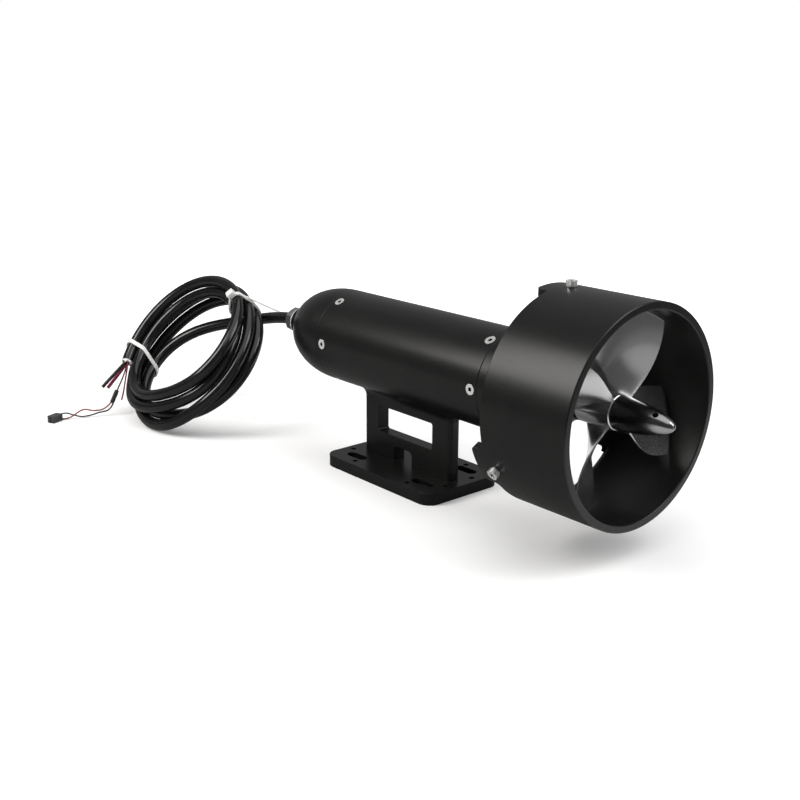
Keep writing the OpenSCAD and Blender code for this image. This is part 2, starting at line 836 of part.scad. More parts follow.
module drive_pin_cut(gap) {
    on_axis(pin_x) rotate([90, 0, 0]) cylinder(d = pin_d + 2 * gap, h = pin_l + 2 * gap, center = true);
}

module rotor_core() {
    color(gunmetal) on_axis(core_x) ring(rotor_d / 2, shaft_r + fit, core_l);
}

module thrust_collar() {
    color(steel) on_axis(collar_x) ring(shaft_r + 4, shaft_r + fit, collar_l);
}

module drive_pin() {
    color(steel) on_axis(pin_x) rotate([90, 0, 0]) cylinder(d = pin_d, h = pin_l, center = true);
}

// Share of the way from the hub to the blade tip
function span(r) = (r - hub_d / 2) / (tip_r - hub_d / 2);

// Leading and trailing edge of a blade as angles from the -Y side
function lead_edge(r) = lead_angle + tip_lag * pow(max(span(r), 0), 3);
function trail_edge(r) = lead_angle + root_sweep
    - (root_sweep - tip_sweep - tip_lag) * pow(max(span(r), 0), 2.2);

// Depth of a blade along the axis, the whole hub at its root
function depth_at(r) = root_depth + (blade_depth - root_depth) * pow(max(span(r), 0), 1.6);

// Thickness of a blade at a radius and a share of its chord
function blade_thickness(r, s) =
    (blade_root_t + (blade_tip_t - blade_root_t) * span(r)) * (0.3 + 0.7 * 4 * s * (1 - s));

// Point of a blade's face at a radius, a share of the chord, and a side
function blade_point(r, s, side) =
    let (sweep = trail_edge(r) - lead_edge(r))
    let (around = r * sweep * PI / 180)
    let (depth = depth_at(r))
    let (chord = norm([depth, around]))
    let (half = side * blade_thickness(r, s) / 2)
    let (inset = blade_thickness(r, 0) / 2 * around / chord)
    let (x = hub_end - depth + inset + s * (depth - 2 * inset) - half * around / chord)
    let (turn = lead_edge(r) + s * sweep + half * depth / chord / r * 180 / PI)
    [x, -r * cos(turn), axis_h + r * sin(turn)];

module blade() {
    rings = 11;
    steps = 8;
    count = 2 * (steps + 1);
    root_r = hub_d / 2 - blade_sink;
    points = [for (i = [0 : rings]) let (r = root_r + (tip_r - root_r) * i / rings) each concat(
        [for (k = [0 : steps]) blade_point(r, k / steps, 1)],
        [for (k = [steps : -1 : 0]) blade_point(r, k / steps, -1)]
    )];
    sides = [for (i = [0 : rings - 1]) for (k = [0 : count - 1]) let (next = (k + 1) % count)
        each [[i * count + k, i * count + next, (i + 1) * count + k],
              [i * count + next, (i + 1) * count + next, (i + 1) * count + k]]];
    caps = [for (k = [0 : steps - 1]) for (i = [0, rings])
        let (a = i * count + k, b = (i + 1) * count - 1 - k)
        each i == 0 ? [[a, b, a + 1], [a + 1, b, b - 1]] : [[a, a + 1, b], [a + 1, b - 1, b]]];
    polyhedron(points, concat(sides, caps));
}

module propeller() {
    groove = 1;
    color(gunmetal) difference() {
        union() {
            on_axis(hub_x) rotate_extrude() polygon([
                [0, 0], [hub_d / 2 - groove, 0], [hub_d / 2, groove], [hub_d / 2, hub_l - 2 * groove],
                [hub_d / 2 - groove, hub_l], [0, hub_l]
            ]);
            for (i = [0 : blade_count - 1]) translate([0, 0, axis_h])
                rotate([i * 360 / blade_count, 0, 0]) translate([0, 0, -axis_h]) blade();
        }
        on_axis(hub_x - cut) cylinder(r = shaft_r + fit, h = hub_l + 2 * cut);
        drive_pin_cut(fit);
        translate([hub_x - cut, -pin_l / 2 - fit, axis_h - pin_d / 2 - fit])
            cube([pin_x - hub_x + cut, pin_l + 2 * fit, pin_d + 2 * fit]);
    }
}

module cone_nut() {
    steps = 24;
    cone_hole_turn = 32;
    cone_hole_x = hub_end + cone_l * 0.71;
    profile = [for (i = [0 : steps]) let (t = sin(90 * i / steps))
        [cone_d / 2 * sqrt(max(1 - pow(t, 1.7), 0)), cone_l * t]];
    color(steel) difference() {
        on_axis(hub_end) rotate_extrude() polygon(concat([[0, 0]], profile));
        on_axis(hub_end - cut) cylinder(r = shaft_r + fit, h = cone_thread + cut);
        radial(cone_hole_x, cone_hole_turn) cylinder(d = cone_hole_d, h = cone_d, center = true);
    }
}

// Tube swept along a route, with its sides set out from a reference direction
module tube(route, d, sides, ref) {
    last = len(route) - 1;
    points = [for (i = [0 : last])
        let (step = route[min(i + 1, last)] - route[max(i - 1, 0)])
        let (ahead = step / norm(step))
        let (across = cross(ahead, ref))
        let (side = across / norm(across))
        let (up = cross(side, ahead))
        for (k = [0 : sides - 1]) let (a = 360 * k / sides)
            route[i] + d / 2 * (cos(a) * side + sin(a) * up)];
    walls = [for (i = [0 : last - 1]) for (k = [0 : sides - 1]) let (next = (k + 1) % sides)
        each [[i * sides + k, i * sides + next, (i + 1) * sides + next],
              [i * sides + k, (i + 1) * sides + next, (i + 1) * sides + k]]];
    start = [for (k = [sides - 1 : -1 : 0]) k];
    end = [for (k = [0 : sides - 1]) last * sides + k];
    polyhedron(points, concat(walls, [start, end]));
}

module coil_frame(turn) {
    translate(coil_at) rotate([coil_lean, 0, 0]) rotate([0, 0, turn]) children();
}

module cable_lead() {
    color(rubber) tube(cable_route, cable_d, 10, [0, 0, 1]);
}

module cable_coil() {
    color(rubber) coil_frame(0) rotate_extrude()
        translate([coil_r, 0]) polygon(ellipse(coil_t / 2, coil_w / 2, coil_sides));
}

// Band of a cable tie round the coil, with its head on one side of the coil
module cable_tie(turn, side) {
    inner = [coil_t / 2 + tie_fit, coil_w / 2 + tie_fit];
    color([0.93, 0.93, 0.9]) coil_frame(turn) translate([coil_r, 0, 0]) union() {
        rotate([90, 0, 0]) linear_extrude(tie_w, center = true) difference() {
            polygon(ellipse(inner[0] + tie_t, inner[1] + tie_t, 2 * coil_sides));
            polygon(ellipse(inner[0], inner[1], 2 * coil_sides));
        }
        scale([1, 1, side]) translate([-tie_head[0] / 2, -tie_head[1] / 2, inner[1] + tie_t / 2])
            cube(tie_head);
        children();
    }
}

module upper_tie() {
    start = coil_w / 5;
    seat = (coil_t / 2 + tie_fit) * sqrt(1 - pow(start / (coil_w / 2 + tie_fit), 2));
    cable_tie(upper_tie_turn, 1) translate([seat + 1.4 * tie_t, -tie_tail_w / 2, start])
        rotate([0, tie_tail_turn, 0]) cube([tie_t, tie_tail_w, tie_tail]);
}

module left_tie() {
    cable_tie(left_tie_turn, -1);
}

module black_lead() {
    color(black) tube(black_route, lead_d, 8, [1, 0, 0]);
}

module red_lead() {
    color([0.7, 0.06, 0.09]) tube(red_route, lead_d, 8, [1, 0, 0]);
}

module spare_wire() {
    color([0.75, 0.1, 0.12]) tube(spare_route, wire_d, 8, [1, 0, 0]);
}

module signal_stub() {
    color(black) tube(stub_route, wire_d, 8, [1, 0, 0]);
}

module sleeve() {
    color(black) tube(sleeve_route, sleeve_d, 8, [1, 0, 0]);
}

module signal_wire_a() {
    color([0.6, 0.18, 0.1]) tube(wire_a_route, wire_d, 8, [1, 0, 0]);
}

module signal_wire_b() {
    color(black) tube(wire_b_route, wire_d, 8, [1, 0, 0]);
}

module connector() {
    color(black) translate([plug_at[0], plug_at[1], plug_rise]) rotate([0, 0, plug_turn]) difference() {
        translate([-plug_l / 2, -plug_w / 2, 0]) cube([plug_l, plug_w, plug_h]);
        for (s = [-1, 1]) translate([plug_l / 2, s * plug_pitch / 2, plug_h / 2])
            cube([plug_l, plug_socket, plug_socket], center = true);
    }
}

barrel_tube();
rear_dome();
front_cover();
rear_barrel_screws();
front_barrel_screws();
rear_seal_ring();
front_seal_ring();
strut_1();
strut_2();
strut_3();
strut_screws();
duct();
duct_screws();
pedestal();
saddle_screws();
base_plate();
base_screws();
gland_tail();
gland_lock_nut();
gland_washer();
gland_nut();
gland_seal();
motor_case();
stator();
rear_bearing();
front_bearing();
shaft_seal();
board_posts();
controller_board();
shaft();
rotor_core();
thrust_collar();
drive_pin();
propeller();
cone_nut();
cable_lead();
cable_coil();
upper_tie();
left_tie();
black_lead();
red_lead();
spare_wire();
signal_stub();
sleeve();
signal_wire_a();
signal_wire_b();
connector();
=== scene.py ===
import json
import math
import bpy
from mathutils import Matrix, Vector

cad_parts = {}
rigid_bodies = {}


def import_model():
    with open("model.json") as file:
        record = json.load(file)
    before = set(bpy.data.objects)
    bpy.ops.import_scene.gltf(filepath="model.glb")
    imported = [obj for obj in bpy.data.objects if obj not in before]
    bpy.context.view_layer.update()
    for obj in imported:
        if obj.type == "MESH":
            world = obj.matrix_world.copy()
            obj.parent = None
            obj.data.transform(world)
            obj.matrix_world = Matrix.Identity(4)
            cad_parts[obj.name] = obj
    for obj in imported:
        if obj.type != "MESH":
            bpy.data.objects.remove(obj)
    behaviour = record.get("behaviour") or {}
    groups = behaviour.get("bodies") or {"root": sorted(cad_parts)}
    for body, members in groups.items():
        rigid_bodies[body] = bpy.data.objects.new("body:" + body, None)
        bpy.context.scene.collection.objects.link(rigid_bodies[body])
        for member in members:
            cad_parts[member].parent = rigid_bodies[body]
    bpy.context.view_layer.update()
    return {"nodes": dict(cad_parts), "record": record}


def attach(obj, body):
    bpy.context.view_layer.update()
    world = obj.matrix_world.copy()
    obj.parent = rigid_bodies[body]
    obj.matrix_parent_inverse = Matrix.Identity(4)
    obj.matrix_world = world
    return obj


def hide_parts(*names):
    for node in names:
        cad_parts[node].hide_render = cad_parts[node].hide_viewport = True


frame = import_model()
print("frame loaded:", len(frame["nodes"]), "nodes")

mm = 0.001
housing = "housing"
rotor = "rotor"


def deselectAll():
    if bpy.context.object and bpy.context.object.mode != "OBJECT":
        bpy.ops.object.mode_set(mode="OBJECT")
    bpy.ops.object.select_all(action="DESELECT")


def pick(*objs):
    deselectAll()
    for o in objs:
        o.select_set(True)
    bpy.context.view_layer.objects.active = objs[0]


def editAll():
    bpy.ops.object.mode_set(mode="EDIT")
    bpy.ops.mesh.select_all(action="SELECT")


def faceOutward():
    bpy.ops.mesh.select_all(action="SELECT")
    bpy.ops.mesh.normals_make_consistent(inside=False)
    bpy.ops.object.mode_set(mode="OBJECT")


def subdivideAll(cuts):
    editAll()
    bpy.ops.mesh.subdivide(number_cuts=cuts)
    bpy.ops.object.mode_set(mode="OBJECT")


def bevelAll(width, segments):
    editAll()
    bpy.ops.mesh.bevel(offset=width, segments=segments, affect="EDGES")
    bpy.ops.object.mode_set(mode="OBJECT")


def smoothBelow(angle):
    bpy.ops.object.shade_smooth_by_angle(angle=math.radians(angle))


def addBox(size, at, tilt=0):
    deselectAll()
    bpy.ops.mesh.primitive_cube_add(size=1, location=(0, 0, 0))
    box = bpy.context.object
    box.scale = size
    box.rotation_euler = (0, tilt, 0)
    box.location = at
    bpy.ops.object.transform_apply(location=True, rotation=True, scale=True)
    return box


def cutAway(obj, cutter):
    pick(obj)
    cut = obj.modifiers.new("cut", "BOOLEAN")
    cut.object = cutter
    cut.operation = "DIFFERENCE"
    cut.solver = "EXACT"
    bpy.ops.object.modifier_apply(modifier="cut")
    bpy.data.objects.remove(cutter)


def thicken(obj, thick, offset):
    wall = obj.modifiers.new("wall", "SOLIDIFY")
    wall.thickness = thick
    wall.offset = offset
    bpy.ops.object.modifier_apply(modifier="wall")


def roundEdges(obj, e):
    soft = obj.modifiers.new("edge", "BEVEL")
    soft.width = e["width"] * mm
    soft.segments = e["segments"]
    soft.limit_method = "ANGLE"
    soft.angle_limit = math.radians(e["above"])
    bpy.ops.object.modifier_apply(modifier="edge")


def placeAlong(obj, at, way):
    turn = way.to_track_quat("Z", "Y").to_matrix().to_4x4()
    obj.data.transform(Matrix.Translation(at) @ turn)


# camera, set up from the base plate's edges and the barrel's outline
camera = {
    "place": (0.59179, -0.52330, 0.29217),
    "yaw": 0.857,
    "pitch": 0.289,
    "roll": 0.007,
    "lens": 50.62,
    "sensor": 36,
    "clip": (0.01, 40),
}


def makeCamera(c):
    forward = Vector((
        -math.sin(c["yaw"]) * math.cos(c["pitch"]),
        math.cos(c["yaw"]) * math.cos(c["pitch"]),
        -math.sin(c["pitch"]),
    ))
    right = Vector((math.cos(c["yaw"]), math.sin(c["yaw"]), 0))
    up = right.cross(forward)
    cosR, sinR = math.cos(c["roll"]), math.sin(c["roll"])
    side = right * cosR + up * sinR
    top = up * cosR - right * sinR
    turn = Matrix((side, top, -forward)).transposed().to_4x4()
    data = bpy.data.cameras.new("camera")
    data.lens = c["lens"]
    data.sensor_width = c["sensor"]
    data.clip_start, data.clip_end = c["clip"]
    cam = bpy.data.objects.new("camera", data)
    bpy.context.scene.collection.objects.link(cam)
    cam.matrix_world = Matrix.Translation(Vector(c["place"])) @ turn
    bpy.context.scene.camera = cam
    return forward


lookDir = makeCamera(camera)
print("camera set")

# cords: the cable with its coil, then the cores at its cut end
coil = {
    "centre": (-220, -55, 61.7),
    "lean": 49,
    "radius": 58.8,
    "startTurn": 134,
    "firstTurn": 164,
    "turns": 101 / 24,
    "pointsPerTurn": 24,
    "lowSide": -15.5,
    "flatTurns": 0.2,
    "pitch": 7.3,
    "stagger": 3.6,
    "joinTurn": 236,
    "joinRadius": 45.5,
    "sag": {"from": 760, "turn": 225, "span": 50, "reach": 3.5},
    # turn and span of each stray strand, and how far it goes out and across
    "strays": [
        (640, 64, 8.5, 0), (255, 45, 2, 14), (592, 32, 4.5, 0), (1012, 42, -5.5, 6),
        (1374, 38, -9.5, 3), (385, 54, 8, 0), (1064, 34, 1.8, -1),
    ],
    "ties": (57, 200),
    "squeeze": 0.22,
    "squeezeSpan": 32,
    "apart": 9.85,
    "rounds": 400,
    # shares of a point's last place, of the middle of its neighbours and of its wanted place
    "shares": (0.82, 0.13, 0.05),
}
cable = {
    "diameter": 9.6,
    "exit": (-147.5, 0, 93),
    "lead": [
        (-135, 0, 93), (-152, 0, 93), (-167, -0.3, 91.2), (-184, -1.5, 87), (-200, -6, 81.5),
        (-216.5, -13.5, 76.7), (-232, -21, 73),
    ],
    "step": 12,
    "easedTurnPoints": 8,
    "easeRounds": 200,
    "easeGive": 0.06,
    "easeHold": 0.004,
    "bevel": 7,
    "smooth": 6,
}


def coilPoint(turn, radius, side):
    a = math.radians(turn)
    lean = math.radians(coil["lean"])
    x, y, z = radius * math.cos(a), radius * math.sin(a), side
    cx, cy, cz = coil["centre"]
    return (
        cx + x,
        cy + y * math.cos(lean) - z * math.sin(lean),
        cz + y * math.sin(lean) + z * math.cos(lean),
    )


def bell(away, span):
    return math.exp(-(away / span) ** 2)


def turnApart(turn, other):
    return (turn - other + 180) % 360 - 180


def wantedPlace(turn):
    done = (max(turn, coil["joinTurn"]) - coil["firstTurn"]) / 360
    radius = coil["radius"] + coil["stagger"] * math.cos(math.pi * done)
    side = coil["lowSide"] + coil["pitch"] * max(done - coil["flatTurns"], 0)
    for t in coil["ties"]:
        side *= 1 - coil["squeeze"] * bell(turnApart(turn, t), coil["squeezeSpan"])
    # the later turns sag at the lower left, and some strands stray from their turn
    sag = coil["sag"]
    if turn > sag["from"]:
        radius += sag["reach"] * bell(turnApart(turn, sag["turn"]), sag["span"])
    for strayTurn, span, out, across in coil["strays"]:
        here = bell(turn - strayTurn, span)
        radius += out * here
        side += across * here
    # the lead bends into the coil on a circle that touches the first turn from inside
    if turn < coil["joinTurn"]:
        off = radius - coil["joinRadius"]
        reach = off * math.cos(math.radians(turn - coil["joinTurn"]))
        radius = reach + math.sqrt(reach**2 + coil["joinRadius"] ** 2 - off**2)
    return Vector((radius, side))


def layStrands():
    # eases the turns of the cable apart until no two of them share the same room
    each = coil["pointsPerTurn"]
    count = round(coil["turns"] * each)
    turns = [coil["startTurn"] + 360 * i / each for i in range(count + 1)]
    wanted = [wantedPlace(t) for t in turns]
    places = [w.copy() for w in wanted]
    keep, ease, home = coil["shares"]
    for r in range(coil["rounds"]):
        even = [places[0], *[(p + q) / 2 for p, q in zip(places, places[2:])], places[-1]]
        places = [p * keep + e * ease + w * home for p, e, w in zip(places, even, wanted)]
        for step in range(each, count + 1, each):
            for i in range(count + 1 - step):
                gap = places[i + step] - places[i]
                lack = coil["apart"] - gap.length
                if lack > 0:
                    push = gap.normalized() * lack / 2
                    places[i] = places[i] - push
                    places[i + step] = places[i + step] + push
    return turns, places


def makeCord(name, points, diameter, shape):
    data = bpy.data.curves.new(name, "CURVE")
    data.dimensions = "3D"
    data.bevel_depth = 1
    data.bevel_resolution = shape["bevel"]
    data.resolution_u = shape["smooth"]
    data.use_fill_caps = True
    spline = data.splines.new("BEZIER")
    spline.bezier_points.add(len(points) - 1)
    places = [Vector(at) * mm for at in points]
    steps = [b - a for a, b in zip(places, places[1:])]
    # tangents of the circles through neighbouring points, so that bends stay even
    ahead = [(a.normalized() * b.length + b.normalized() * a.length).normalized()
             for a, b in zip(steps, steps[1:])]
    ahead = [2 * steps[0].normalized() - ahead[0], *ahead, 2 * steps[-1].normalized() - ahead[-1]]
    for i, p in enumerate(spline.bezier_points):
        p.handle_left_type = p.handle_right_type = "FREE"
        p.co = places[i]
        p.radius = diameter / 2 * mm
        p.handle_left = places[i] - ahead[i] * steps[max(i - 1, 0)].length / 3
        p.handle_right = places[i] + ahead[i] * steps[min(i, len(steps) - 1)].length / 3
    obj = bpy.data.objects.new(name, data)
    bpy.context.scene.collection.objects.link(obj)
    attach(obj, housing)
    return obj


def curveLength(obj, cuts=12):
    pts = obj.data.splines[0].bezier_points
    total = 0
    for a, b in zip(pts, pts[1:]):
        last = a.co
        for k in range(1, cuts + 1):
            t = k / cuts
            s = 1 - t
            here = (a.co * s**3 + a.handle_right * 3 * s * s * t
                    + b.handle_left * 3 * s * t * t + b.co * t**3)
            total += (here - last).length
            last = here
    return total


def evenly(points, gap):
    # points at equal steps along a route
    out = [points[0]]
    for a, b in zip(points, points[1:]):
        while (b - out[-1]).length >= gap:
            reach = (b - a).normalized()
            back = (out[-1] - a).dot(reach)
            off = (out[-1] - a - reach * back).length
            out.append(a + reach * (back + math.sqrt(gap * gap - off * off)))
    return out


def easeBends(points, last):
    # spreads each bend along the route, and holds the route near where it started
    start = [p.copy() for p in points]
    for r in range(cable["easeRounds"]):
        curl = [a - 4 * b + 6 * c - 4 * d + e
                for a, b, c, d, e in zip(points, points[1:], points[2:], points[3:], points[4:])]
        for i in range(2, last):
            points[i] = (points[i] - curl[i - 2] * cable["easeGive"]
                         + (start[i] - points[i]) * cable["easeHold"])
    return points


coilTurns, strandPlaces = layStrands()
coilPoints = [Vector(coilPoint(t, *p)) for t, p in zip(coilTurns, strandPlaces)]
leadPoints = evenly([Vector(p) for p in cable["lead"]], cable["step"])
cablePoints = easeBends(leadPoints + coilPoints, len(leadPoints) + cable["easedTurnPoints"])


def strandPlace(point, near):
    # turn, radius and side of a point of the coil
    lean = math.radians(coil["lean"])
    x, y, z = point - Vector(coil["centre"])
    y, side = y * math.cos(lean) + z * math.sin(lean), z * math.cos(lean) - y * math.sin(lean)
    turn = math.degrees(math.atan2(y, x))
    return turn + 360 * round((near - turn) / 360), Vector((math.hypot(x, y), side))


easedStrands = [strandPlace(p, t) for p, t in zip(cablePoints[len(leadPoints):], coilTurns)]


def strandAt(turn):
    before = [k for k, (start, place) in enumerate(easedStrands[:-1]) if start <= turn]
    i = max(before, default=0)
    (start, first), (stop, second) = easedStrands[i], easedStrands[i + 1]
    return first.lerp(second, (turn - start) / (stop - start))


cableObj = makeCord("cable", cablePoints, cable["diameter"], cable)
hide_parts("cable_lead", "cable_coil")

coreShape = {"bevel": 3, "smooth": 8}
cores = {
    "blackCore": {
        "node": "black_lead", "slot": "wire_black", "diameter": 2.9,
        "route": [
            (-277.2, -83.2, 47.8), (-276.3, -84.8, 46.1), (-279.1, -90.4, 39.1),
            (-281.7, -95, 33.7), (-284.3, -99.7, 28.2), (-286.6, -104, 23),
        ],
    },
    "redCore": {
        "node": "red_lead", "slot": "wire_red", "diameter": 2.9,
        "route": [
            (-278.7, -81.7, 45.9), (-277.8, -83.3, 44.2), (-280.3, -86.2, 39.1),
            (-282.6, -89.8, 33.5), (-284.7, -93.9, 28), (-287.2, -98.9, 21.2),
        ],
    },
    "spareCore": {
        "node": "spare_wire", "slot": "wire_red", "diameter": 1.3,
        "route": [
            (-275.3, -82.3, 47.1), (-274.1, -84.5, 44.7), (-273.8, -87, 36.2),
            (-273, -89.5, 27.6), (-272, -92, 19.8), (-271.5, -94.5, 13),
        ],
    },
    "signalCore": {
        "node": "signal_stub", "slot": "wire_black", "diameter": 1.3,
        "route": [
            (-277.2, -81.9, 46.3), (-276.1, -83.8, 44.2), (-276.4, -87.3, 36),
            (-275.6, -91.6, 28.6), (-274.6, -94.8, 24.4), (-274, -97, 21), (-275, -101.5, 12),
        ],
    },
    "signalWireA": {
        "node": "signal_wire_a", "slot": "wire_red", "diameter": 1.3,
        "route": [
            (-275.15, -102.05, 12.2), (-276.1, -104.7, 9.2), (-277.4, -108.2, 6.6),
            (-280.2, -115.6, 5.4), (-283.7, -124.7, 7.2), (-285, -129.2, 5.3),
            (-286.1, -133.1, 2.8), (-288, -138, 1), (-290.7, -143.9, 1.4),
        ],
    },
    "signalWireB": {
        "node": "signal_wire_b", "slot": "wire_black", "diameter": 1.3,
        "route": [
            (-274.65, -100.75, 12.2), (-275.1, -102.4, 7.9), (-276.1, -104.9, 5.2),
            (-279.1, -112.8, 3.4), (-281.8, -119.8, 1.6), (-284.4, -126.6, 1.3),
            (-287.5, -132.5, 3.2), (-288.9, -137.4, 5.3), (-290.7, -143.9, 4.7),
        ],
    },
}
coreObjs = {}
for name, c in cores.items():
    coreObjs[name] = makeCord(name, c["route"], c["diameter"], coreShape)
    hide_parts(c["node"])
print("cords made, cable length", round(curveLength(cableObj), 3))

# heat-shrink sleeve over the signal pair
sleeve = {
    "from": (-274, -97, 21.5), "to": (-275, -102, 11), "radius": 1.9, "sides": 24, "cuts": 5,
    "pinch": 0.92, "pinchFrom": 0.6, "ripple": 0.05, "rippleRate": 1900, "smooth": 50,
}


def makeSleeve(s):
    a, b = Vector(s["from"]) * mm, Vector(s["to"]) * mm
    axis = b - a
    deselectAll()
    bpy.ops.mesh.primitive_cylinder_add(vertices=s["sides"], radius=s["radius"] * mm,
                                        depth=axis.length, location=(0, 0, 0))
    obj = bpy.context.object
    obj.name = "heatShrink"
    subdivideAll(s["cuts"])
    half = axis.length / 2
    for v in obj.data.vertices:
        end = max(0, abs(v.co.z) / half - s["pinchFrom"]) / (1 - s["pinchFrom"])
        wave = s["ripple"] * math.sin(v.co.z * s["rippleRate"])
        k = 1 - (1 - s["pinch"]) * end * end + wave
        v.co.x *= k
        v.co.y *= k
    placeAlong(obj, (a + b) / 2, axis)
    smoothBelow(s["smooth"])
    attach(obj, housing)
    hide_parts("sleeve")
    return obj


sleeveObj = makeSleeve(sleeve)

# small plug at the end of the signal pair, with two sockets and a shallow panel on each side
plug = {
    "at": (-289, -148, 3.05), "turn": -67, "size": (11, 7, 6), "edge": 0.35, "edgeSegments": 2,
    "socket": 1.7, "pitch": 2.5, "depth": 4,
    "panel": {"length": 0.45, "height": 0.34, "back": 0.08, "depth": 0.5},
}


def makePlug(p):
    lx, ly, lz = [v * mm for v in p["size"]]
    obj = addBox((lx, ly, lz), (0, 0, 0))
    obj.name = "signalPlug"
    bevelAll(p["edge"] * mm, p["edgeSegments"])
    cutters = []
    for s in (-1, 1):
        size = (2 * p["depth"] * mm, p["socket"] * mm, p["socket"] * mm)
        cutters.append(addBox(size, (lx / 2, 0, s * p["pitch"] / 2 * mm)))
    panel = p["panel"]
    for s in (-1, 1):
        size = (lx * panel["length"], 2 * panel["depth"] * mm, lz * panel["height"])
        cutters.append(addBox(size, (-lx * panel["back"], s * ly / 2, 0)))
    for c in cutters:
        cutAway(obj, c)
    turn = Matrix.Rotation(math.radians(p["turn"]), 4, "Z")
    obj.data.transform(Matrix.Translation(Vector(p["at"]) * mm) @ turn)
    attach(obj, housing)
    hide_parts("connector")
    return obj


plugObj = makePlug(plug)
print("sleeve and plug made")

# cable ties, drawn tight round the strands that they hold
tie = {
    "width": 3.6, "thick": 1.1, "sides": 72, "play": 0.15, "slopeStep": 0.01, "smooth": 35,
    "head": (6.6, 6, 5.2), "headSink": 0.2, "headEdge": 0.6, "headSegments": 3,
    "tailWidth": 2.3, "tailThick": 0.6, "tailCuts": 9, "tailOff": 0.9, "tailRise": 7,
    "tailReach": 7, "tailCurl": 1.6,
}
ties = {
    "upperTie": {"node": "upper_tie", "turn": 57, "slant": 0, "head": 90, "tail": 32},
    "leftTie": {"node": "left_tie", "turn": 203, "slant": 0.7, "head": -25, "tail": 0},
}


def hullRadius(centres, middle, angle, r):
    d = (math.cos(angle), math.sin(angle))
    return max((c[0] - middle[0]) * d[0] + (c[1] - middle[1]) * d[1] for c in centres) + r


def hullLoop(centres, r, sides):
    # points of the tight outline round circles, from its support lines
    middle = [sum(c[i] for c in centres) / len(centres) for i in (0, 1)]
    e = tie["slopeStep"]
    loop = []
    for k in range(sides):
        a = 2 * math.pi * k / sides
        h, after, before = [hullRadius(centres, middle, b, r) for b in (a, a + e, a - e)]
        slope = (after - before) / (2 * e)
        loop.append((
            middle[0] + h * math.cos(a) - slope * math.sin(a),
            middle[1] + h * math.sin(a) + slope * math.cos(a),
        ))
    return loop


def makeTail(length, start):
    # thin strip that leaves the head and falls away over the outside of the coil
    deselectAll()
    bpy.ops.mesh.primitive_plane_add(size=1, location=(0, 0, 0))
    tail = bpy.context.object
    subdivideAll(tie["tailCuts"])
    for v in tail.data.vertices:
        s = v.co.x + 0.5
        x = start[0] + tie["tailOff"] + tie["tailReach"] * s + tie["tailCurl"] * s * s
        z = start[1] + tie["tailRise"] - length * s
        v.co = (x * mm, v.co.y * tie["tailWidth"] * mm, z * mm)
    thicken(tail, tie["tailThick"] * mm, 0)
    return tail


def makeHead(loop, angle, slant):
    # the head sits at the place that reaches furthest its way
    way = (math.cos(math.radians(angle)), math.sin(math.radians(angle)))
    end = max(loop, key=lambda p: way[0] * p[0] + way[1] * p[1])
    hx, hy, hz = [v * mm for v in tie["head"]]
    out = hz / 2 - tie["headSink"] * mm
    at = (end[0] * mm + way[0] * out, -slant * end[1] * mm, end[1] * mm + way[1] * out)
    head = addBox((hx, hy, hz), at, math.radians(90 - angle))
    bevelAll(tie["headEdge"] * mm, tie["headSegments"])
    return head


def heldStrands(t):
    # places of the strands in the plane of a tie
    strands = []
    turn = t["turn"]
    while turn < coil["startTurn"]:
        turn += 360
    while turn <= coilTurns[-1]:
        radius, side = strandAt(turn)
        slanted = turn - math.degrees(t["slant"] * side / radius)
        strands.append(strandAt(min(slanted, coilTurns[-1])))
        turn += 360
    return strands


def makeTie(name, t):
    loop = hullLoop(heldStrands(t), cable["diameter"] / 2 + tie["play"], tie["sides"])
    width = tie["width"] * mm
    deselectAll()
    bpy.ops.mesh.primitive_circle_add(vertices=tie["sides"], radius=1, location=(0, 0, 0))
    band = bpy.context.object
    band.name = name
    for v, p in zip(band.data.vertices, loop):
        v.co = (p[0] * mm, -width / 2 - t["slant"] * p[1] * mm, p[1] * mm)
    editAll()
    for half in range(2):
        bpy.ops.mesh.extrude_region_move(TRANSFORM_OT_translate={"value": (0, width / 2, 0)})
    faceOutward()
    # the wall grows away from the strands
    middle = Vector((sum(p[0] for p in loop), 0, sum(p[1] for p in loop))) * (mm / len(loop))
    face = band.data.polygons[0]
    outward = face.normal.dot(face.center - middle) > 0
    thicken(band, tie["thick"] * mm, 1 if outward else -1)
    parts = [band, makeHead(loop, t["head"], t["slant"])]
    if t["tail"]:
        parts.append(makeTail(t["tail"], max(loop, key=lambda p: p[0])))
    pick(*parts)
    bpy.ops.object.join()
    lean = Matrix.Rotation(math.radians(coil["lean"]), 4, "X")
    spin = Matrix.Rotation(math.radians(t["turn"]), 4, "Z")
    band.data.transform(Matrix.Translation(Vector(coil["centre"]) * mm) @ lean @ spin)
    pick(band)
    bpy.ops.object.mode_set(mode="EDIT")
    faceOutward()
    smoothBelow(tie["smooth"])
    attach(band, housing)
    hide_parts(t["node"])
    return band


tieObjs = {name: makeTie(name, t) for name, t in ties.items()}
print("cable ties made")

# filler that frays out of the cable's cut end
fray = {
    "radius": 4.3, "length": 3.4, "wall": 0.5, "sides": 60, "rings": 4, "smooth": 40,
    "ragged": 0.65, "waves": [(1, 5, 1), (0.7, 11, 0), (0.5, 23, 2)],
    "flare": 0.1, "flareWave": (0.06, 7),
}


